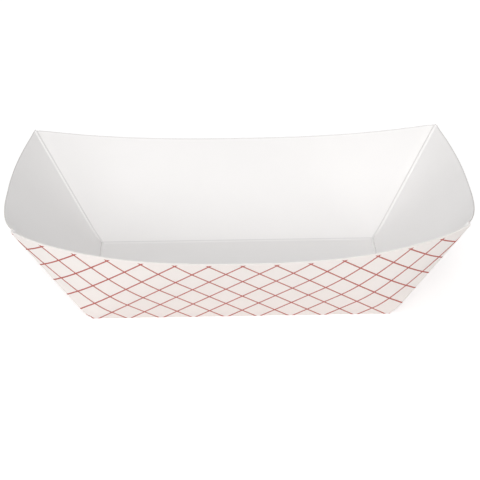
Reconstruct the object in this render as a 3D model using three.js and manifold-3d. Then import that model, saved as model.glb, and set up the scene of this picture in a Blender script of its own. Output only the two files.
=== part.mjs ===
// Paper food tray: one die-cut sheet of board, creased along four base folds,
// with its walls flared out and its corner gussets folded flat behind the end walls.
// Millimetres, +Z up, +X along the long side, origin at the bottom centre.

import * as THREE from 'three';
import { mergeVertices } from 'three/addons/utils/BufferGeometryUtils.js';
import Module from 'manifold-3d';

// Board
const boardThickness = 0.38;
const layerGap = 0.04;

// Floor, measured between the base folds
const floorLength = 110.3;
const floorWidth = 72.2;

// Walls
const longWallSlant = 45;
const longWallFlare = THREE.MathUtils.degToRad(41.6);
const endWallFlare = THREE.MathUtils.degToRad(40.9);
const flatRimLength = 5;

// Corner edges, as the outward run in X and in Y for each unit of height
const cornerRunX = 0.604;
const cornerRunY = 0.409;

// Creases and corners
const beadRadius = 0.28;
const beadLift = 0.1;
const heelRadius = 0.9;
const flapDropAtCorner = 0.3;
const flapDropAtFold = 4;

// Facets
const curlSteps = 14;
const flapSteps = 6;
const rodSides = 12;
const heelSegments = 14;
const heelRings = 8;
const tipRadius = 0.3;

// Finish
const boardColor = 0xf3f1ee;
const boardRoughness = 0.55;

const cylinderAxis = new THREE.Vector3(0, 1, 0);
const layerPitch = boardThickness + layerGap;
const foldHeight = boardThickness / 2;
const bendRadius = 0.55 * boardThickness;
const cornerEdge = new THREE.Vector3(cornerRunX, cornerRunY, 1).normalize();

const wasm = await Module();
wasm.setup();

function toSolid(geometry) {
  const bare = geometry.clone();
  bare.deleteAttribute('normal');
  bare.deleteAttribute('uv');
  const merged = mergeVertices(bare, 1e-5);
  const vertProperties = new Float32Array(merged.attributes.position.array);
  const triVerts = new Uint32Array(merged.index.array);
  return new wasm.Manifold(new wasm.Mesh({ numProp: 3, vertProperties, triVerts }));
}

function toGeometry(solid) {
  const mesh = solid.getMesh();
  const geometry = new THREE.BufferGeometry();
  geometry.setAttribute('position', new THREE.BufferAttribute(mesh.vertProperties.slice(), 3));
  geometry.setIndex(new THREE.BufferAttribute(mesh.triVerts.slice(), 1));
  geometry.computeVertexNormals();
  return geometry;
}

function join(solids) {
  return solids.reduce((whole, solid) => whole.add(solid));
}

// Half a wall, in polar terms about its base corner. The angle runs up from the fold.
// Up to flatAngle the board is flat, and beyond it the board curls as a cone to the corner edge.
function wallHalf(corner, along, up, inward, flatAngle, edge) {
  const flatDirection = (angle) => along.clone()
    .multiplyScalar(Math.cos(angle))
    .addScaledVector(up, Math.sin(angle));
  const start = flatDirection(flatAngle);
  const across = flatDirection(flatAngle + Math.PI / 2);
  const tilt = Math.atan2(1 - start.dot(edge), inward.dot(edge));
  const axis = start.clone().multiplyScalar(Math.cos(tilt)).addScaledVector(inward, Math.sin(tilt));
  const startOut = start.clone().addScaledVector(axis, -start.dot(axis));
  const edgeOut = edge.clone().addScaledVector(axis, -edge.dot(axis));
  const turn = startOut.angleTo(edgeOut);
  const sense = Math.sign(axis.clone().cross(start).dot(across));
  const edgeAngle = flatAngle + turn * Math.sin(tilt);

  function at(angle, radius, offset) {
    const direction = flatDirection(angle);
    const normal = inward.clone();
    if (angle > flatAngle) {
      const spin = sense * (angle - flatAngle) / Math.sin(tilt);
      direction.copy(start).applyAxisAngle(axis, spin);
      normal.applyAxisAngle(axis, spin);
    }
    return corner.clone().addScaledVector(direction, radius).addScaledVector(normal, offset);
  }
  return { at, flatAngle, edgeAngle };
}

// A closed strip of board through stations that each hold a foot and a rim,
// as pairs of points on the inner and the outer face.
function sheet(stations) {
  const positions = [];
  const index = [];
  for (const station of stations) {
    for (const point of [station.foot[0], station.foot[1], station.rim[0], station.rim[1]]) {
      positions.push(point.x, point.y, point.z);
    }
  }
  const quad = (a, b, c, d) => index.push(a, b, c, a, c, d);
  const footIn = 0;
  const footOut = 1;
  const rimIn = 2;
  const rimOut = 3;
  for (let i = 0; i + 1 < stations.length; i += 1) {
    const here = 4 * i;
    const next = here + 4;
    quad(here + footIn, next + footIn, next + rimIn, here + rimIn);
    quad(here + rimOut, next + rimOut, next + footOut, here + footOut);
    quad(here + rimIn, next + rimIn, next + rimOut, here + rimOut);
    quad(here + footOut, next + footOut, next + footIn, here + footIn);
  }
  const last = 4 * (stations.length - 1);
  quad(footIn, rimIn, rimOut, footOut);
  quad(last + footOut, last + rimOut, last + rimIn, last + footIn);
  const geometry = new THREE.BufferGeometry();
  geometry.setAttribute('position', new THREE.Float32BufferAttribute(positions, 3));
  geometry.setIndex(index);
  const solid = toSolid(geometry);
  if (solid.volume() > 0) {
    return solid;
  }
  for (let i = 0; i < index.length; i += 3) {
    [index[i], index[i + 1]] = [index[i + 1], index[i]];
  }
  geometry.setIndex(index);
  return toSolid(geometry);
}

function station(half, angle, rimRadius, inner, outer) {
  return {
    foot: [half.at(angle, tipRadius, inner), half.at(angle, tipRadius, outer)],
    rim: [half.at(angle, rimRadius, inner), half.at(angle, rimRadius, outer)],
  };
}

// A round rod along a straight crease
function rod(from, to, radius) {
  const run = to.clone().sub(from);
  const geometry = new THREE.CylinderGeometry(radius, radius, run.length(), rodSides);
  const turn = new THREE.Quaternion().setFromUnitVectors(cylinderAxis, run.clone().normalize());
  geometry.applyQuaternion(turn);
  geometry.translate(...from.clone().add(to).multiplyScalar(0.5).toArray());
  return toSolid(geometry);
}

function span(from, to, steps) {
  return Array.from({ length: steps + 1 }, (_, i) => from + (to - from) * i / steps);
}

// The two halves that meet at one base corner. sideX and sideY are +1 or -1.
function cornerHalves(sideX, sideY) {
  const corner = new THREE.Vector3(sideX * floorLength / 2, sideY * floorWidth / 2, foldHeight);
  const edge = new THREE.Vector3(sideX * cornerEdge.x, sideY * cornerEdge.y, cornerEdge.z);
  const long = wallHalf(
    corner,
    new THREE.Vector3(-sideX, 0, 0),
    new THREE.Vector3(0, sideY * Math.sin(longWallFlare), Math.cos(longWallFlare)),
    new THREE.Vector3(0, -sideY * Math.cos(longWallFlare), Math.sin(longWallFlare)),
    Math.atan2(longWallSlant, (floorLength - flatRimLength) / 2),
    edge,
  );
  const edgeLength = longWallSlant / Math.sin(long.edgeAngle);
  const end = wallHalf(
    corner,
    new THREE.Vector3(0, -sideY, 0),
    new THREE.Vector3(sideX * Math.sin(endWallFlare), 0, Math.cos(endWallFlare)),
    new THREE.Vector3(-sideX * Math.cos(endWallFlare), 0, Math.sin(endWallFlare)),
    Math.atan2(edgeLength, (floorWidth - flatRimLength) / 2),
    edge,
  );
  const endSlant = edgeLength * Math.sin(end.edgeAngle);
  return { corner, edge, long, end, edgeLength, endSlant };
}

// One wall: the curl of its first half, the flat middle and the curl of its second half
function wall(firstHalf, secondHalf, slant) {
  const inner = boardThickness / 2;
  const outer = -boardThickness / 2;
  const stationsOf = (half) => span(half.edgeAngle, half.flatAngle, curlSteps)
    .map((angle) => station(half, angle, slant / Math.sin(angle), inner, outer));
  return sheet([...stationsOf(firstHalf), ...stationsOf(secondHalf).reverse()]);
}

// The gusset behind an end wall: two layers of board, the rolled folds between them,
// and the short return that carries the outer layer round the corner to the long wall
function gusset({ corner, edge, long, end, edgeLength, endSlant }) {
  const webAngle = 1.5 * Math.PI - long.edgeAngle - end.edgeAngle;
  const foldAngle = end.edgeAngle - webAngle / 2;
  const flapTopAtCorner = edgeLength - flapDropAtCorner;
  const flapTopAtFold = endSlant / Math.sin(foldAngle) - flapDropAtFold;
  const flapTop = (angle) => THREE.MathUtils.mapLinear(
    angle, end.edgeAngle, foldAngle, flapTopAtCorner, flapTopAtFold);
  const layers = [1, 2].map((layer) => {
    const inner = boardThickness / 2 - layer * layerPitch;
    const outer = inner - boardThickness;
    const angles = span(foldAngle, end.edgeAngle, flapSteps);
    return sheet(angles.map((angle) => station(end, angle, flapTop(angle), inner, outer)));
  });
  const rollRadius = boardThickness + layerGap / 2;
  const roll = (angle, offset, length) => rod(
    end.at(angle, tipRadius, offset),
    end.at(angle, length, offset),
    rollRadius,
  );
  const edgeRoll = roll(end.edgeAngle, -layerPitch / 2, flapTopAtCorner);
  const backRoll = roll(foldAngle, -1.5 * layerPitch, flapTopAtFold);
  const reach = -2 * layerPitch;
  const outFoot = end.at(end.edgeAngle, tipRadius, reach);
  const outRim = end.at(end.edgeAngle, edgeLength, reach);
  const inFoot = corner.clone().addScaledVector(edge, tipRadius);
  const inRim = corner.clone().addScaledVector(edge, edgeLength);
  const side = edge.clone().cross(outRim.clone().sub(inRim)).setLength(boardThickness / 2);
  const shifted = (point, scale) => point.clone().addScaledVector(side, scale);
  const cornerReturn = sheet([
    { foot: [shifted(inFoot, 1), shifted(inFoot, -1)], rim: [shifted(inRim, 1), shifted(inRim, -1)] },
    { foot: [shifted(outFoot, 1), shifted(outFoot, -1)], rim: [shifted(outRim, 1), shifted(outRim, -1)] },
  ]);
  const returnBend = rod(outFoot, outRim, bendRadius);
  const wallBend = rod(inFoot, inRim, bendRadius);
  return join([...layers, edgeRoll, backRoll, cornerReturn, returnBend, wallBend]);
}

function floor() {
  const geometry = new THREE.BoxGeometry(floorLength, floorWidth, boardThickness);
  geometry.translate(0, 0, foldHeight);
  return toSolid(geometry);
}

// The raised bead that a crease leaves along a base fold
function foldBead(from, to) {
  const lift = new THREE.Vector3(0, 0, beadLift);
  return rod(from.clone().add(lift), to.clone().add(lift), beadRadius);
}

// The small rounded heel where the folds of one corner meet
function heel(corner) {
  const geometry = new THREE.SphereGeometry(heelRadius, heelSegments, heelRings);
  geometry.rotateX(Math.PI / 2);
  geometry.translate(corner.x, corner.y, heelRadius);
  return toSolid(geometry);
}

// The space under the tray, which the layers at the corner feet are cut flat against
function ground() {
  const depth = heelRadius;
  const geometry = new THREE.BoxGeometry(2 * floorLength, 2 * floorWidth, depth);
  geometry.translate(0, 0, -depth / 2);
  return toSolid(geometry);
}

function trayGeometry() {
  const frontLeft = cornerHalves(-1, -1);
  const frontRight = cornerHalves(1, -1);
  const backRight = cornerHalves(1, 1);
  const backLeft = cornerHalves(-1, 1);
  const corners = [frontLeft, frontRight, backRight, backLeft];
  const walls = [
    wall(frontLeft.long, frontRight.long, longWallSlant),
    wall(frontRight.end, backRight.end, frontRight.endSlant),
    wall(backRight.long, backLeft.long, longWallSlant),
    wall(backLeft.end, frontLeft.end, frontLeft.endSlant),
  ];
  const beads = corners.map((here, i) => foldBead(here.corner, corners[(i + 1) % corners.length].corner));
  const heels = corners.map((here) => heel(here.corner));
  const folded = join([floor(), ...walls, ...corners.map(gusset), ...beads, ...heels]);
  return toGeometry(folded.subtract(ground()));
}

function board() {
  return new THREE.MeshStandardMaterial({
    color: boardColor,
    roughness: boardRoughness,
    metalness: 0,
    flatShading: true,
  });
}

const tray = new THREE.Mesh(trayGeometry(), board());
tray.name = 'tray';

const group = new THREE.Group();
group.add(tray);

export default group;
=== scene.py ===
# Paper food tray: a printed board tray, folded from one blank, on a pale studio floor.
# Metres, +Z up, +X along the long side, and the origin at the bottom centre.

import math

import bpy
from bpy.props import FloatProperty, FloatVectorProperty, IntProperty, PointerProperty
from mathutils import Matrix, Vector


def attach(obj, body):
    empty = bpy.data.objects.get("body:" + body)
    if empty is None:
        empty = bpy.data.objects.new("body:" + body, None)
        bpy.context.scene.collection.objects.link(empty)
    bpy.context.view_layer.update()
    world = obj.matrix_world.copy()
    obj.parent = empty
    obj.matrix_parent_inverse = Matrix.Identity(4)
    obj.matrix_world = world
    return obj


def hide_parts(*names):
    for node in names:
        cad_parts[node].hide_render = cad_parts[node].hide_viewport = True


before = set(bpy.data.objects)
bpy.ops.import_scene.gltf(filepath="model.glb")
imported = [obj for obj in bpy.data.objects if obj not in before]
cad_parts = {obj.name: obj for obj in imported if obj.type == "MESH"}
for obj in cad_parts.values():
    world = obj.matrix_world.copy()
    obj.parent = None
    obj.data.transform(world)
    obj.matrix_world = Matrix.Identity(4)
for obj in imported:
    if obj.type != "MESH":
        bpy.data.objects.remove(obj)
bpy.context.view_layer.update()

bl_info = {
    "name": "Paper Food Tray",
    "version": (1, 0, 0),
    "blender": (4, 5, 0),
    "location": "View3D > Sidebar > Food Tray",
    "description": "Folds a printed board tray from its blank and sets it on a studio floor",
    "category": "Add Mesh",
}

MM = 0.001
# UV map that holds each point's place on the flat blank, in metres
PRINT_MAP = "blank"
CAD_NODE = "tray"
# Material slots of the food side and of the cut edge, after the printed side's
COATED, CUT = 1, 2

# The blank turns this far about a base corner, from the end fold to the long fold
THREE_QUARTERS = 1.5 * math.pi
# Keeps a division from a zero
TINY = 1e-9
# Lengths that differ by less than this are the same
ROUNDING = 1e-9
# Points of two strips nearer than this are one point
MERGE_GAP = 2e-6

# Mesh columns of a curl lie closer together towards the corner edge by this power
CROWDING = 1.6
# Heights in millimetres of the first mesh rows above a fold
FOOT_ROWS = (0, 0.25, 0.5, 0.75, 1.0, 1.3, 1.8, 2.6)
# The row at which the gusset layers start
TIP_ROW = 5
# Share of their full spread that the layers have at that row
LEAST_SPREAD = 0.3
# Mesh columns of one rolled edge, and of the inner and the outer layer of a gusset
ROLL_COLUMNS = 8
INNER_COLUMNS = 12
OUTER_COLUMNS = 16
# Mesh lines across one ridge beside a fold, and between the ridges
RIDGE_LINES = 6
MIDDLE_LINES = 10

# Widths over which the end wall is drawn in and the long wall is led out beside a corner edge
INSET_WIDTH = 6 * MM
LEAD_WIDTH = 4 * MM
# Near the tip those widths are at most this share of the distance from it
NARROWING = 0.6
# How close to the corner edge the trim of the long rim stays
TRIM_POWER = 6

# Faces that meet at less than this angle are shaded as one
SMOOTH_ANGLE = math.radians(25)

# Roughness, bump of the fibre, depth of the clouds and their scale, for each side of the board
PRINTED_FINISH = (0.6, 0.35, 0.03, 160)
COATED_FINISH = (0.42, 0.2, 0.02, 90)
CUT_FINISH = (0.85, 0.5, 0.1, 900)
FIBRE_SCALE = 1400
FIBRE_DETAIL = 3
FIBRE_DEPTH = 0.02 * MM
CLOUD_DETAIL = 4

# The studio floor lies this far under the tray, so that their faces don't share a plane
FLOOR_GAP = 0.02 * MM
# Where the lamps point
AIM = (0, 0, 0.02)
# Place and width of each lamp
FRONT_LAMP = ((0, -1.3, 0.55), 0.8)
LEFT_LAMP = ((-1.1, -0.8, 0.5), 0.7)
TOP_LAMP = ((0, 0.1, 1.3), 0.9)
WHITE = (1, 1, 1, 1)
FLOOR_COLOUR = (0.8, 0.8, 0.8, 1)
FLOOR_ROUGHNESS = 0.9


class TrayFoldSettings(bpy.types.PropertyGroup):
    """Sizes of the board and of its folds."""

    board: FloatProperty(
        name="Board", description="Thickness of the board", default=0.38 * MM, unit="LENGTH")
    layer_gap: FloatProperty(
        name="Layer gap", description="Gap between folded layers", default=0.04 * MM, unit="LENGTH")
    floor_length: FloatProperty(
        name="Floor length", description="Between the end folds", default=110.3 * MM, unit="LENGTH")
    floor_width: FloatProperty(
        name="Floor width", description="Between the long folds", default=72.2 * MM, unit="LENGTH")
    long_slant: FloatProperty(
        name="Long wall", description="Fold to rim along a long wall", default=45 * MM, unit="LENGTH")
    long_flare: FloatProperty(
        name="Long flare", description="Lean of a long wall", default=math.radians(41.6), subtype="ANGLE")
    end_flare: FloatProperty(
        name="End flare", description="Lean of an end wall", default=math.radians(40.9), subtype="ANGLE")
    flat_rim: FloatProperty(
        name="Flat rim", description="Straight middle stretch of a rim", default=5 * MM, unit="LENGTH")
    corner_run: FloatVectorProperty(
        name="Corner run", description="Outward run of a corner edge for each unit of height",
        default=(0.604, 0.409), size=2)
    corner_drop: FloatProperty(
        name="Corner drop", description="How far a gusset stops below the rim at its corner edge",
        default=0.3 * MM, unit="LENGTH")
    fold_drop: FloatProperty(
        name="Fold drop", description="How far a gusset stops below the rim at its back fold",
        default=4 * MM, unit="LENGTH")
    front_bow: FloatProperty(
        name="Front bow", description="How much tighter the front wall curls at its corner edges",
        default=24.0)
    back_bow: FloatProperty(
        name="Back bow", description="How much tighter the back wall curls at its corner edges",
        default=0.0)
    bow_power: FloatProperty(
        name="Bow power", description="How close to the corner edge that tight curl stays", default=20.0)
    roll_inset: FloatProperty(
        name="Roll inset", description="How far the rolled edge stands in from its corner edge",
        default=0.8 * MM, unit="LENGTH")
    roll_rise: FloatProperty(
        name="Roll rise", description="How far the rolled edge stands up from its end wall",
        default=0.45 * MM, unit="LENGTH")
    roll_width: FloatProperty(
        name="Roll width", description="Width over which the board rises to that edge",
        default=1.0 * MM, unit="LENGTH")
    bead_width: FloatProperty(
        name="Bead width", description="Width of the ridge beside a base fold",
        default=1.1 * MM, unit="LENGTH")
    bead_height: FloatProperty(
        name="Bead height", description="Height of that ridge", default=0.4 * MM, unit="LENGTH")
    pinch: FloatProperty(
        name="Pinch", description="Length over which the layers spread from a corner's tip",
        default=2.5 * MM, unit="LENGTH")
    rows: IntProperty(name="Rows", description="Mesh rows up a wall", default=18, min=4)
    columns: IntProperty(name="Columns", description="Mesh columns round one curl", default=36, min=6)


class TrayPrintSettings(bpy.types.PropertyGroup):
    """Colours of the board and the size of its printed lattice."""

    period_x: FloatProperty(
        name="Period along", description="Lattice period along the tray", default=12 * MM, unit="LENGTH")
    wall_period: FloatProperty(
        name="Period up", description="Lattice period up a long wall", default=12.61 * MM, unit="LENGTH")
    top_margin: FloatProperty(
        name="Top margin", description="Rim to the first row of crossings",
        default=1.77 * MM, unit="LENGTH")
    line_width: FloatProperty(
        name="Line", description="Width of a printed line", default=0.63 * MM, unit="LENGTH")
    overrun: FloatProperty(
        name="Overrun", description="How far a line runs past the first crossings",
        default=0.75 * MM, unit="LENGTH")
    register_x: FloatProperty(
        name="Register", description="Side shift of the print on the blank",
        default=0.34 * MM, unit="LENGTH")
    ink: FloatVectorProperty(
        name="Ink", description="Colour of the lattice", default=(0.42, 0.075, 0.055), subtype="COLOR")
    stock: FloatVectorProperty(
        name="Stock", description="Colour of the printed side", default=(0.9, 0.85, 0.82), subtype="COLOR")
    coating: FloatVectorProperty(
        name="Coating", description="Colour of the food side",
        default=(0.865, 0.85, 0.842), subtype="COLOR")
    # Painted shade: the next five settings give the widths and the depth of darker lines painted into the
    # coating along the rim, the folds and the corner seams, where shade falls
    rim_line: FloatProperty(
        name="Rim line", description="Width of the worn line along the rim, inside",
        default=0.45 * MM, unit="LENGTH")
    long_crease: FloatProperty(
        name="Long crease", description="Half the width of the worn line on a long fold, inside",
        default=0.65 * MM, unit="LENGTH")
    end_crease: FloatProperty(
        name="End crease", description="Half the width of the worn line on an end fold, inside",
        default=0.2 * MM, unit="LENGTH")
    seam_line: FloatProperty(
        name="Seam line", description="Width of the worn line beside a corner seam, inside",
        default=0.9 * MM, unit="LENGTH")
    # How much darker the painted shade makes those lines
    shade_depth: FloatProperty(
        name="Wear", description="How much darker the worn lines are", default=0.14, min=0, max=1)
    edge: FloatVectorProperty(
        name="Cut edge", description="Colour of the cut board",
        default=(0.8, 0.775, 0.745), subtype="COLOR")


class TrayStudioSettings(bpy.types.PropertyGroup):
    """Camera, floor and lights."""

    eye: FloatVectorProperty(
        name="Eye", description="Place of the camera", default=(-0.01055, -0.69977, 0.30607), unit="LENGTH")
    focal_pixels: FloatProperty(
        name="Focal length", description="Focal length in pixels of the frame", default=1965.81)
    frame_pixels: FloatProperty(name="Frame", description="Width of the frame in pixels", default=480.0)
    yaw: FloatProperty(name="Yaw", description="Turn towards +X", default=0.0157, subtype="ANGLE")
    pitch: FloatProperty(name="Pitch", description="Look down", default=0.3934, subtype="ANGLE")
    roll: FloatProperty(name="Roll", description="Roll of the camera", default=-0.0099, subtype="ANGLE")
    floor_size: FloatProperty(name="Floor", description="Side of the floor", default=6.0, unit="LENGTH")
    world_level: FloatProperty(
        name="World", description="Strength of the light from all round", default=0.45)
    front_power: FloatProperty(
        name="Front", description="Power of the front light", default=10.5, unit="POWER")
    left_power: FloatProperty(name="Left", description="Power of the left light", default=3.5, unit="POWER")
    top_power: FloatProperty(name="Top", description="Power of the top light", default=1.9, unit="POWER")
    floor_glow: FloatProperty(
        name="Floor glow", description="White that the floor shows the camera", default=0.5)


def select_only(*pieces):
    """Leaves just these pieces selected, the first of them active."""
    bpy.ops.object.select_all(action="DESELECT")
    for piece in pieces:
        piece.select_set(True)
    bpy.context.view_layer.objects.active = pieces[0]


class WallHalf:
    """Half a wall in polar terms about its base corner: flat beside the fold, then curled round a cone.

    The curl is even where bow is 0. A larger bow makes it tighter towards the corner edge.
    """

    # Rulings that are traced over one curl
    STEPS = 144
    # The search for the curl: rounds, longest step, trial step and the miss that it accepts
    MOST_ROUNDS = 60
    LONGEST_STEP = 0.1
    NUDGE = 1e-3
    CLOSE_ENOUGH = 2e-6
    # The angle back along the wall that shows which way the board runs
    SIDE_STEP = 0.01

    def __init__(self, corner, along, up, inward, flat_angle, edge, bow=0.0, bow_power=1.0):
        self.corner, self.along, self.up, self.inward = corner, along, up, inward
        self.flat_angle, self.edge, self.bow, self.bow_power = flat_angle, edge, bow, bow_power
        self.start = along * math.cos(flat_angle) + up * math.sin(flat_angle)
        across = up * math.cos(flat_angle) - along * math.sin(flat_angle)
        self.sense = math.copysign(1, inward.cross(self.start).dot(across))
        tilt = math.atan2(1 - self.start.dot(edge), inward.dot(edge))
        axis = self.start * math.cos(tilt) + inward * math.sin(tilt)
        start_out = self.start - axis * self.start.dot(axis)
        edge_out = edge - axis * edge.dot(axis)
        even_length = start_out.angle(edge_out) * math.sin(tilt)
        self.even_angle = flat_angle + even_length
        self.length, curl = self.solved(even_length, 1 / math.tan(tilt) / (1 + bow / (bow_power + 1)))
        self.frames = self.traced(self.length, curl)
        self.frames[-1] = (edge, self.frames[-1][1])
        self.edge_angle = flat_angle + self.length

    def traced(self, length, curl):
        """Directions of the rulings, with their normals, from the flat part to the corner edge."""
        direction, normal = self.start, self.inward
        frames = [(direction, normal)]
        step = length / self.STEPS
        for i in range(self.STEPS):
            tightness = 1 + self.bow * ((i + 0.5) / self.STEPS) ** self.bow_power
            normal = Matrix.Rotation(-self.sense * curl * tightness * step, 3, direction) @ normal
            direction = Matrix.Rotation(self.sense * step, 3, normal) @ direction
            frames.append((direction, normal))
        return frames

    def missed(self, length, curl):
        """How far the last ruling misses the corner edge, along the wall and out of it."""
        direction, normal = self.traced(length, curl)[-1]
        return self.edge.dot(normal.cross(direction)), self.edge.dot(normal)

    def solved(self, length, curl):
        """The length and the curl that end on the corner edge, by Newton's method."""
        for _ in range(self.MOST_ROUNDS):
            miss = self.missed(length, curl)
            if max(abs(miss[0]), abs(miss[1])) < self.CLOSE_ENOUGH:
                break
            longer, tighter = self.missed(length + self.NUDGE, curl), self.missed(length, curl + self.NUDGE)
            by_length = [(a - b) / self.NUDGE for a, b in zip(longer, miss)]
            by_curl = [(a - b) / self.NUDGE for a, b in zip(tighter, miss)]
            scale = by_length[0] * by_curl[1] - by_length[1] * by_curl[0]
            length_step = (miss[1] * by_curl[0] - miss[0] * by_curl[1]) / scale
            curl_step = (miss[0] * by_length[1] - miss[1] * by_length[0]) / scale
            damping = min(1, self.LONGEST_STEP / max(abs(length_step), abs(curl_step)))
            length += length_step * damping
            curl += curl_step * damping
        return length, curl

    def frame(self, angle):
        """Direction of the ruling at this angle, and the normal of the board there."""
        if angle <= self.flat_angle:
            return self.along * math.cos(angle) + self.up * math.sin(angle), self.inward
        place = min((angle - self.flat_angle) / self.length, 1) * self.STEPS
        first = min(int(place), self.STEPS - 1)
        share = place - first
        before, after = self.frames[first], self.frames[first + 1]
        return before[0].lerp(after[0], share).normalized(), before[1].lerp(after[1], share).normalized()

    def normal(self, angle):
        """The direction that faces into the tray."""
        return self.frame(angle)[1]

    def onward(self, angle):
        """Which way the board runs on, at right angles to its ruling."""
        direction, normal = self.frame(angle)
        aside = normal.cross(direction)
        return aside if aside.dot(direction - self.frame(angle - self.SIDE_STEP)[0]) > 0 else -aside

    def at(self, angle, radius, offset=0.0):
        """A point of the board, by its angle and distance about the base corner."""
        direction, normal = self.frame(angle)
        return self.corner + direction * radius + normal * offset


class Corner:
    """One base corner: its two wall halves, its web and the sizes that they share."""

    def __init__(self, fold, side_x, side_y):
        self.side_x, self.side_y = side_x, side_y
        self.flat = Vector((side_x * fold.floor_length / 2, side_y * fold.floor_width / 2))
        point = Vector((self.flat.x, self.flat.y, fold.board / 2))
        self.edge = Vector((side_x * fold.corner_run[0], side_y * fold.corner_run[1], 1)).normalized()
        sin_l, cos_l = math.sin(fold.long_flare), math.cos(fold.long_flare)
        sin_e, cos_e = math.sin(fold.end_flare), math.cos(fold.end_flare)
        self.long = WallHalf(
            point, Vector((-side_x, 0, 0)), Vector((0, side_y * sin_l, cos_l)),
            Vector((0, -side_y * cos_l, sin_l)),
            math.atan2(fold.long_slant, (fold.floor_length - fold.flat_rim) / 2), self.edge,
            fold.front_bow if side_y < 0 else fold.back_bow, fold.bow_power)
        self.edge_length = fold.long_slant / math.sin(self.long.even_angle)
        self.long_trim = 1 - self.edge_length * math.sin(self.long.edge_angle) / fold.long_slant
        self.end = WallHalf(
            point, Vector((0, -side_y, 0)), Vector((side_x * sin_e, 0, cos_e)),
            Vector((-side_x * cos_e, 0, sin_e)),
            math.atan2(self.edge_length, (fold.floor_width - fold.flat_rim) / 2), self.edge)
        self.end_slant = self.edge_length * math.sin(self.end.edge_angle)
        self.web = THREE_QUARTERS - self.long.edge_angle - self.end.edge_angle
        self.fold_angle = self.end.edge_angle - self.web / 2

    def blank(self, angle, radius):
        """Place on the flat blank. The angle runs from the end fold, across the web, to the long fold."""
        return self.flat + Vector((self.side_x * math.sin(angle), -self.side_y * math.cos(angle))) * radius


def spread(first, last, share):
    """The value at this share of the way from first to last."""
    return first + (last - first) * share


def add_strip(name, columns, shares, place):
    """A grid of board cut from the blank. place(s, t) gives its folded point and its blank point.

    s runs evenly from 0 to 1 over the columns, and t takes the given shares in turn.
    """
    rows = len(shares) - 1
    bpy.ops.mesh.primitive_grid_add(x_subdivisions=columns, y_subdivisions=rows, size=1)
    strip = bpy.context.object
    strip.name = name
    layer = strip.data.uv_layers.active or strip.data.uv_layers.new()
    layer.name = PRINT_MAP
    flat = []
    for vertex in strip.data.vertices:
        t = shares[round((vertex.co.y + 0.5) * rows)]
        folded, blank = place(min(max(vertex.co.x + 0.5, 0), 1), t)
        vertex.co = folded
        flat.append(blank)
    for loop in strip.data.loops:
        layer.data[loop.index].uv = flat[loop.vertex_index]
    return strip


def wall_shares(fold):
    """Shares of a wall's height at which its mesh rows lie: close together beside the fold."""
    foot = [height * MM / fold.long_slant for height in FOOT_ROWS]
    return foot[:-1] + [spread(foot[-1], 1, i / fold.rows) for i in range(fold.rows + 1)]


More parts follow.
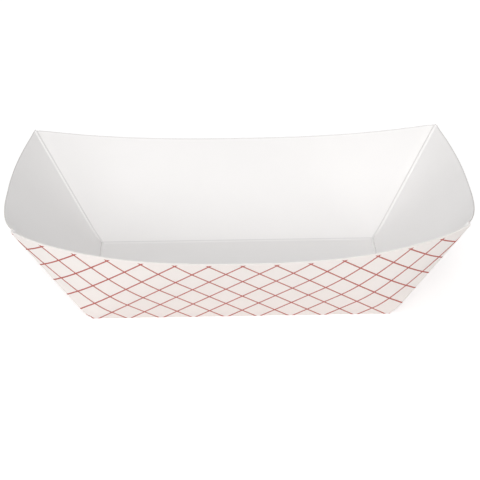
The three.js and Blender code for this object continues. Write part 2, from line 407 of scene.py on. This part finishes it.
def corner_strips(fold, corner, number):
    """The strips of one corner, in order from its end wall to its long wall."""
    long, end = corner.long, corner.end
    pitch = fold.board + fold.layer_gap
    last_end, last_long = end.edge_angle, long.edge_angle
    web_start, web_end = last_end, last_end + corner.web
    web_middle = web_start + corner.web / 2
    top_at_corner = corner.edge_length - fold.corner_drop
    top_at_fold = corner.end_slant / math.sin(corner.fold_angle) - fold.fold_drop
    n_end, n_fold = end.normal(last_end), end.normal(corner.fold_angle)
    along_end, along_fold = end.onward(last_end), end.onward(corner.fold_angle)

    shares = wall_shares(fold)
    gusset_shares = shares[TIP_ROW:]
    tip = gusset_shares[0] * corner.edge_length

    def pinched(radius):
        """How far the layers have spread: not at all below their start, in full one pinch above it."""
        past = radius - tip
        return 0.0 if past < -ROUNDING else spread(LEAST_SPREAD, 1, min(past / fold.pinch, 1))

    def climb(t):
        """The share of the way from the start of a gusset layer to its top."""
        return (t - gusset_shares[0]) / (1 - gusset_shares[0])

    def gap_share(angle, last, width, radius):
        """Distance from the corner edge as a share of a width that narrows towards the tip."""
        return min(radius * math.sin(last - angle) / max(min(width, NARROWING * radius), TINY), 1)

    def inset(angle, radius):
        """How far the end wall is drawn in beside its rolled edge."""
        weight = (1 - gap_share(angle, last_end, INSET_WIDTH, radius)) ** 2
        return along_end * (-fold.roll_inset * pinched(radius) * weight)

    def end_curl(s, t):
        angle = spread(end.flat_angle, last_end, 1 - (1 - s) ** CROWDING)
        radius = t * corner.end_slant / math.sin(angle)
        gap = gap_share(angle, last_end, fold.roll_width, radius)
        rise = fold.roll_rise * pinched(radius) * (0.5 + 0.5 * math.cos(math.pi * gap))
        return end.at(angle, radius, rise) + inset(angle, radius), corner.blank(angle, radius)

    def edge_roll(s, t):
        radius = spread(tip, spread(corner.edge_length, top_at_corner, s), climb(t))
        middle = n_end * ((fold.roll_rise - pitch) / 2 * pinched(radius))
        arc = n_end * math.cos(math.pi * s) + along_end * math.sin(math.pi * s)
        arc *= (fold.roll_rise + pitch) / 2 * pinched(radius)
        point = end.at(last_end, radius) + inset(last_end, radius) + middle + arc
        return point, corner.blank(web_start, radius)

    def inner_layer(s, t):
        angle = spread(last_end, corner.fold_angle, s)
        radius = spread(tip, spread(top_at_corner, top_at_fold, math.sqrt(s)), climb(t))
        point = end.at(angle, radius, -pitch * pinched(radius)) + inset(angle, radius)
        return point, corner.blank(spread(web_start, web_middle, s), radius)

    def back_roll(s, t):
        radius = spread(tip, top_at_fold, climb(t))
        lift = pinched(radius) * pitch / 2
        arc = n_fold * (math.cos(math.pi * s) - 3) - along_fold * math.sin(math.pi * s)
        return end.at(corner.fold_angle, radius) + arc * lift, corner.blank(web_middle, radius)

    def outer_layer(s, t):
        angle = spread(corner.fold_angle, last_end, s)
        radius = spread(tip, spread(corner.edge_length, top_at_fold, math.sqrt(1 - s)), climb(t))
        point = end.at(angle, radius, -2 * pitch * pinched(radius))
        return point, corner.blank(spread(web_middle, web_end, s), radius)

    def long_curl(s, t):
        angle = spread(last_long, long.flat_angle, s ** CROWDING)
        trim = corner.long_trim * ((angle - long.flat_angle) / long.length) ** TRIM_POWER
        radius = t * fold.long_slant / math.sin(angle) * (1 - trim)
        weight = (1 - gap_share(angle, last_long, LEAD_WIDTH, radius)) ** 2
        point = long.at(angle, radius) - n_end * (2 * pitch * pinched(radius) * weight)
        return point, corner.blank(THREE_QUARTERS - angle, radius)

    parts = [
        ("end_curl", fold.columns, shares, end_curl),
        ("edge_roll", ROLL_COLUMNS, gusset_shares, edge_roll),
        ("inner_layer", INNER_COLUMNS, gusset_shares, inner_layer),
        ("back_roll", ROLL_COLUMNS, gusset_shares, back_roll),
        ("outer_layer", OUTER_COLUMNS, gusset_shares, outer_layer),
        ("long_curl", fold.columns, shares, long_curl),
    ]
    flip = corner.side_x * corner.side_y < 0
    strips = []
    for label, columns, rows, place in parts:
        ordered = (lambda s, t, f=place: f(1 - s, t)) if flip else place
        strips.append(add_strip(f"{label}_{number}", columns, rows, ordered))
    return strips


def fold_shares(length, bead):
    """Shares of a floor side at which its mesh lines lie: close together on the ridges."""
    near = [bead * i / RIDGE_LINES / length for i in range(RIDGE_LINES + 1)]
    middle = [spread(near[-1], 1 - near[-1], i / MIDDLE_LINES) for i in range(1, MIDDLE_LINES)]
    return near + middle + [1 - share for share in reversed(near)]


def floor_strip(fold):
    """The floor, with a low ridge beside each fold."""
    shares_x = fold_shares(fold.floor_length, fold.bead_width)
    shares_y = fold_shares(fold.floor_width, fold.bead_width)

    def ridge(gap):
        return 0.5 - 0.5 * math.cos(2 * math.pi * min(gap / fold.bead_width, 1))

    def place(s, t):
        share_x = shares_x[round(s * (len(shares_x) - 1))]
        x, y = (share_x - 0.5) * fold.floor_length, (t - 0.5) * fold.floor_width
        gap_x, gap_y = fold.floor_length / 2 - abs(x), fold.floor_width / 2 - abs(y)
        rise = fold.bead_height * max(ridge(gap_x), ridge(gap_y)) if min(gap_x, gap_y) > 0 else 0
        return Vector((x, y, fold.board / 2 + rise)), Vector((x, y))

    floor = add_strip("floor", len(shares_x) - 1, shares_y, place)
    # The walls' strips face outwards, so the floor is turned to face down
    select_only(floor)
    bpy.ops.object.mode_set(mode="EDIT")
    bpy.ops.mesh.select_all(action="SELECT")
    bpy.ops.mesh.flip_normals()
    bpy.ops.object.mode_set(mode="OBJECT")
    return floor


def wall_middle(fold, name, first_corner, last_corner, is_long):
    """The flat middle of a wall, between the last flat rulings of its two halves."""
    first = first_corner.long if is_long else first_corner.end
    last = last_corner.long if is_long else last_corner.end
    slant = fold.long_slant if is_long else first_corner.end_slant
    shares = fold_shares(fold.floor_length if is_long else fold.floor_width, fold.bead_width)
    blank_angle = THREE_QUARTERS - first.flat_angle if is_long else first.flat_angle

    def place(s, t):
        share = shares[round(s * (len(shares) - 1))]
        radius = t * slant / math.sin(first.flat_angle)
        point = first.at(first.flat_angle, radius).lerp(last.at(last.flat_angle, radius), share)
        first_blank = first_corner.blank(blank_angle, radius)
        return point, first_blank.lerp(last_corner.blank(blank_angle, radius), share)

    return add_strip(name, len(shares) - 1, wall_shares(fold), place)


class TRAY_OT_board(bpy.types.Operator):
    """Fold the tray from its blank"""

    bl_idname = "tray.board"
    bl_label = "Folded board"

    def execute(self, context):
        fold = context.scene.tray_fold
        front_left, front_right = Corner(fold, -1, -1), Corner(fold, 1, -1)
        back_right, back_left = Corner(fold, 1, 1), Corner(fold, -1, 1)
        corners = [front_left, front_right, back_right, back_left]
        strips = [floor_strip(fold)]
        for number, corner in enumerate(corners):
            strips += corner_strips(fold, corner, number)
        strips.append(wall_middle(fold, "front_middle", front_left, front_right, True))
        strips.append(wall_middle(fold, "right_middle", front_right, back_right, False))
        strips.append(wall_middle(fold, "back_middle", back_right, back_left, True))
        strips.append(wall_middle(fold, "left_middle", back_left, front_left, False))
        select_only(*strips)
        bpy.ops.object.join()
        board = bpy.context.object
        board.name = "folded_board"
        board.data.name = "folded_board"
        bpy.ops.object.mode_set(mode="EDIT")
        bpy.ops.mesh.select_all(action="SELECT")
        bpy.ops.mesh.remove_doubles(threshold=MERGE_GAP)
        bpy.ops.object.mode_set(mode="OBJECT")
        for material in (printed_material(context), coated_material(context), cut_material(context)):
            board.data.materials.append(material)
        wall = board.modifiers.new("board", "SOLIDIFY")
        wall.thickness = fold.board
        wall.offset = 0
        wall.use_quality_normals = True
        wall.material_offset = COATED
        wall.material_offset_rim = CUT
        bpy.ops.object.modifier_apply(modifier=wall.name)
        bpy.ops.object.shade_smooth_by_angle(angle=SMOOTH_ANGLE)
        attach(board, "root")
        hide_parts(CAD_NODE)
        return {"FINISHED"}


def math_node(tree, operation, first, second=None):
    """A math node with each input linked or set. Gives its output."""
    node = tree.nodes.new("ShaderNodeMath")
    node.operation = operation
    for socket, value in zip(node.inputs, (first, second)):
        if isinstance(value, (int, float)):
            socket.default_value = value
        elif value is not None:
            tree.links.new(value, socket)
    return node.outputs[0]


def mix_colour(tree, share, first, second):
    """The first colour where the share is 0 and the second where it is 1."""
    node = tree.nodes.new("ShaderNodeMix")
    node.data_type = "RGBA"
    factor, start, end = node.inputs[0], node.inputs[6], node.inputs[7]
    tree.links.new(share, factor)
    for socket, value in ((start, first), (end, second)):
        if isinstance(value, tuple):
            socket.default_value = value
        else:
            tree.links.new(value, socket)
    return node.outputs[2]


def noise(tree, vector, scale, detail):
    """A noise texture's value from 0 to 1."""
    node = tree.nodes.new("ShaderNodeTexNoise")
    node.inputs["Scale"].default_value = scale
    node.inputs["Detail"].default_value = detail
    tree.links.new(vector, node.inputs["Vector"])
    return node.outputs["Fac"]


def darker(colour, amount):
    """The colour with that share of its light taken away."""
    return tuple(channel * (1 - amount) for channel in colour)


def board_material(name, colour, finish):
    """A side of the board, with fine fibre and faint clouds of shade.

    Gives the material, its node tree, its shader and the cloudy colour.
    """
    roughness, fibre, cloud, cloud_scale = finish
    material = bpy.data.materials.new(name)
    material.use_nodes = True
    material.diffuse_color = (*colour, 1)
    tree = material.node_tree
    shader = tree.nodes["Principled BSDF"]
    shader.inputs["Roughness"].default_value = roughness
    place = tree.nodes.new("ShaderNodeTexCoord").outputs["Object"]
    bump = tree.nodes.new("ShaderNodeBump")
    bump.inputs["Strength"].default_value = fibre
    bump.inputs["Distance"].default_value = FIBRE_DEPTH
    tree.links.new(noise(tree, place, FIBRE_SCALE, FIBRE_DETAIL), bump.inputs["Height"])
    tree.links.new(bump.outputs["Normal"], shader.inputs["Normal"])
    clouds = noise(tree, place, cloud_scale, CLOUD_DETAIL)
    return material, tree, shader, mix_colour(tree, clouds, (*darker(colour, cloud), 1), (*colour, 1))


def blank_place(tree):
    """A point's place along the flat blank, and its distances from the blank's two middle lines."""
    blank = tree.nodes.new("ShaderNodeUVMap")
    blank.uv_map = PRINT_MAP
    split = tree.nodes.new("ShaderNodeSeparateXYZ")
    tree.links.new(blank.outputs["UV"], split.inputs[0])
    along, across = split.outputs["X"], split.outputs["Y"]
    return along, math_node(tree, "ABSOLUTE", along), math_node(tree, "ABSOLUTE", across)


def printed_material(context):
    """Uncoated printed side: off-white stock with the red lattice."""
    look, fold = context.scene.tray_print, context.scene.tray_fold
    material, tree, shader, stock = board_material("printed_side", look.stock, PRINTED_FINISH)
    along, far, out = blank_place(tree)
    first_row = fold.floor_width / 2 + fold.long_slant - look.top_margin
    wall_rows = (fold.long_slant - look.top_margin) / look.wall_period
    floor_rows = round(fold.floor_width / look.wall_period)
    on_wall = math_node(tree, "MAXIMUM", math_node(tree, "SUBTRACT", out, fold.floor_width / 2), 0)
    on_floor = math_node(tree, "MINIMUM", out, fold.floor_width / 2)
    half_rows = round(2 * (wall_rows + floor_rows / 2)) / 2
    floor_share = (half_rows - wall_rows) / (fold.floor_width / 2)
    wall_row = math_node(tree, "DIVIDE", on_wall, look.wall_period)
    row = math_node(tree, "ADD", wall_row, math_node(tree, "MULTIPLY", on_floor, floor_share))
    phase = math_node(tree, "SUBTRACT", row, half_rows)
    shifted = math_node(tree, "SUBTRACT", along, look.register_x)
    column = math_node(tree, "DIVIDE", shifted, look.period_x)
    half_line = look.line_width / look.period_x / math.sqrt(2)
    lines = []
    for operation in ("ADD", "SUBTRACT"):
        turn = math_node(tree, operation, phase, column)
        off_line = math_node(tree, "SUBTRACT", turn, math_node(tree, "ROUND", turn))
        near = math_node(tree, "ABSOLUTE", off_line)
        lines.append(math_node(tree, "LESS_THAN", near, half_line))
    lattice = math_node(tree, "MAXIMUM", *lines)
    in_rows = math_node(tree, "LESS_THAN", out, first_row + look.overrun)
    end_rim = fold.floor_length / 2 + Corner(fold, 1, 1).end_slant
    in_columns = math_node(tree, "LESS_THAN", far, end_rim - look.overrun)
    inked = math_node(tree, "MULTIPLY", lattice, math_node(tree, "MULTIPLY", in_rows, in_columns))
    colour = mix_colour(tree, inked, stock, (*look.ink, 1))
    tree.links.new(colour, shader.inputs["Base Color"])
    return material


def painted_shade_lines(tree, fold, look):
    """Mask of painted shade: 1 on the rim, on the folds of the floor and beside the corner seams of the
    long walls.
    """
    _, far, out = blank_place(tree)
    corner = Corner(fold, 1, 1)
    beyond_x = math_node(tree, "SUBTRACT", far, fold.floor_length / 2)
    beyond_y = math_node(tree, "SUBTRACT", out, fold.floor_width / 2)
    on_rim = [
        math_node(tree, "GREATER_THAN", beyond_x, corner.end_slant - look.rim_line),
        math_node(tree, "GREATER_THAN", beyond_y, fold.long_slant - look.rim_line),
    ]
    on_folds = []
    folds = ((beyond_x, beyond_y, look.end_crease), (beyond_y, beyond_x, look.long_crease))
    for beside, within, half_width in folds:
        near = math_node(tree, "LESS_THAN", math_node(tree, "ABSOLUTE", beside), half_width)
        inside = math_node(tree, "LESS_THAN", within, half_width)
        on_folds.append(math_node(tree, "MULTIPLY", near, inside))
    seam_angle = THREE_QUARTERS - corner.long.edge_angle
    seam = corner.blank(seam_angle, 1) - corner.flat
    out_share = math_node(tree, "MULTIPLY", beyond_x, seam.y)
    off_seam = math_node(tree, "SUBTRACT", out_share, math_node(tree, "MULTIPLY", beyond_y, seam.x))
    near = math_node(tree, "LESS_THAN", math_node(tree, "ABSOLUTE", off_seam), look.seam_line)
    shadowed = math_node(tree, "MULTIPLY", near, math_node(tree, "GREATER_THAN", beyond_y, 0))
    for line in on_rim + on_folds:
        shadowed = math_node(tree, "MAXIMUM", shadowed, line)
    return shadowed


def coated_material(context):
    """Smooth white coating of the food side, with painted shade along the rim, the creases and the corner
    seams.
    """
    look, fold = context.scene.tray_print, context.scene.tray_fold
    material, tree, shader, unshaded = board_material("coated_side", look.coating, COATED_FINISH)
    # Painted shade: the coating's colour darkened along the rim, crease and seam lines, where shade falls
    shade_colour = (*darker(look.coating, look.shade_depth), 1)
    colour = mix_colour(tree, painted_shade_lines(tree, fold, look), unshaded, shade_colour)
    tree.links.new(colour, shader.inputs["Base Color"])
    return material


def cut_material(context):
    """Bare fibre on the cut edge of the board."""
    material, tree, shader, fibre = board_material("cut_edge", context.scene.tray_print.edge, CUT_FINISH)
    tree.links.new(fibre, shader.inputs["Base Color"])
    return material


def add_area_light(name, place, size, power):
    """A round soft light that faces the middle of the tray."""
    data = bpy.data.lights.new(name, "AREA")
    data.shape = "DISK"
    data.size = size
    data.energy = power
    lamp = bpy.data.objects.new(name, data)
    bpy.context.scene.collection.objects.link(lamp)
    lamp.location = place
    lamp.rotation_euler = (Vector(AIM) - Vector(place)).to_track_quat("-Z", "Y").to_euler()


def seen_as_background(tree):
    """1 for the rays that show the background: to the camera, in a gloss and through glass."""
    ray = tree.nodes.new("ShaderNodeLightPath")
    seen = math_node(tree, "MAXIMUM", ray.outputs["Is Camera Ray"], ray.outputs["Is Glossy Ray"])
    return math_node(tree, "MAXIMUM", seen, ray.outputs["Is Transmission Ray"])


def floor_material(glow_level):
    """Pale floor that stays white round the object and still takes its shadow."""
    material = bpy.data.materials.new("studio_floor")
    material.use_nodes = True
    tree = material.node_tree
    shader = tree.nodes["Principled BSDF"]
    shader.inputs["Base Color"].default_value = FLOOR_COLOUR
    shader.inputs["Roughness"].default_value = FLOOR_ROUGHNESS
    glow = tree.nodes.new("ShaderNodeEmission")
    level = math_node(tree, "MULTIPLY", seen_as_background(tree), glow_level)
    tree.links.new(level, glow.inputs["Strength"])
    both = tree.nodes.new("ShaderNodeAddShader")
    tree.links.new(shader.outputs[0], both.inputs[0])
    tree.links.new(glow.outputs[0], both.inputs[1])
    tree.links.new(both.outputs[0], tree.nodes["Material Output"].inputs["Surface"])
    return material


class TRAY_OT_stage(bpy.types.Operator):
    """Set the floor, the lights and the camera"""

    bl_idname = "tray.stage"
    bl_label = "Studio"

    def execute(self, context):
        studio = context.scene.tray_studio
        context.scene.view_settings.view_transform = "Standard"
        bpy.ops.object.select_all(action="DESELECT")
        bpy.ops.mesh.primitive_plane_add(size=studio.floor_size)
        floor = bpy.context.object
        floor.name = "studio_floor"
        floor.location.z = -FLOOR_GAP
        floor.data.materials.append(floor_material(studio.floor_glow))
        add_area_light("front", *FRONT_LAMP, studio.front_power)
        add_area_light("left", *LEFT_LAMP, studio.left_power)
        add_area_light("top", *TOP_LAMP, studio.top_power)
        self.world(context, studio)
        self.camera(context, studio)
        return {"FINISHED"}

    def world(self, context, studio):
        """Even light from all round, and a white background."""
        world = bpy.data.worlds.new("studio_air")
        world.use_nodes = True
        context.scene.world = world
        tree = world.node_tree
        background = tree.nodes["Background"]
        background.inputs["Color"].default_value = WHITE
        background.inputs["Strength"].default_value = studio.world_level
        white = tree.nodes.new("ShaderNodeBackground")
        white.inputs["Color"].default_value = WHITE
        white.inputs["Strength"].default_value = 1
        mix = tree.nodes.new("ShaderNodeMixShader")
        tree.links.new(seen_as_background(tree), mix.inputs["Fac"])
        tree.links.new(background.outputs[0], mix.inputs[1])
        tree.links.new(white.outputs[0], mix.inputs[2])
        tree.links.new(mix.outputs[0], tree.nodes["World Output"].inputs["Surface"])

    def camera(self, context, studio):
        """The camera of the photograph."""
        data = bpy.data.cameras.new("camera")
        data.sensor_fit = "HORIZONTAL"
        data.lens = studio.focal_pixels / studio.frame_pixels * data.sensor_width
        camera = bpy.data.objects.new("camera", data)
        context.scene.collection.objects.link(camera)
        yaw = Matrix.Rotation(-studio.yaw, 4, "Z")
        pitch = Matrix.Rotation(math.pi / 2 - studio.pitch, 4, "X")
        roll = Matrix.Rotation(studio.roll, 4, "Z")
        camera.matrix_world = Matrix.Translation(Vector(studio.eye)) @ yaw @ pitch @ roll
        context.scene.camera = camera


class TRAY_PT_panel(bpy.types.Panel):
    """Buttons and sizes of the tray"""

    bl_idname = "TRAY_PT_panel"
    bl_label = "Food Tray"
    bl_space_type = "VIEW_3D"
    bl_region_type = "UI"
    bl_category = "Food Tray"

    def draw(self, context):
        for group in (context.scene.tray_fold, context.scene.tray_print, context.scene.tray_studio):
            box = self.layout.box()
            for name in group.bl_rna.properties.keys():
                if name not in ("rna_type", "name"):
                    box.prop(group, name)
        self.layout.operator(TRAY_OT_board.bl_idname)
        self.layout.operator(TRAY_OT_stage.bl_idname)


CLASSES = (
    TrayFoldSettings,
    TrayPrintSettings,
    TrayStudioSettings,
    TRAY_OT_board,
    TRAY_OT_stage,
    TRAY_PT_panel,
)


def register():
    for cls in CLASSES:
        bpy.utils.register_class(cls)
    bpy.types.Scene.tray_fold = PointerProperty(type=TrayFoldSettings)
    bpy.types.Scene.tray_print = PointerProperty(type=TrayPrintSettings)
    bpy.types.Scene.tray_studio = PointerProperty(type=TrayStudioSettings)


def unregister():
    del bpy.types.Scene.tray_studio
    del bpy.types.Scene.tray_print
    del bpy.types.Scene.tray_fold
    for cls in reversed(CLASSES):
        bpy.utils.unregister_class(cls)


def main():
    register()
    bpy.ops.tray.board()
    bpy.ops.tray.stage()


if __name__ == "__main__":
    main()
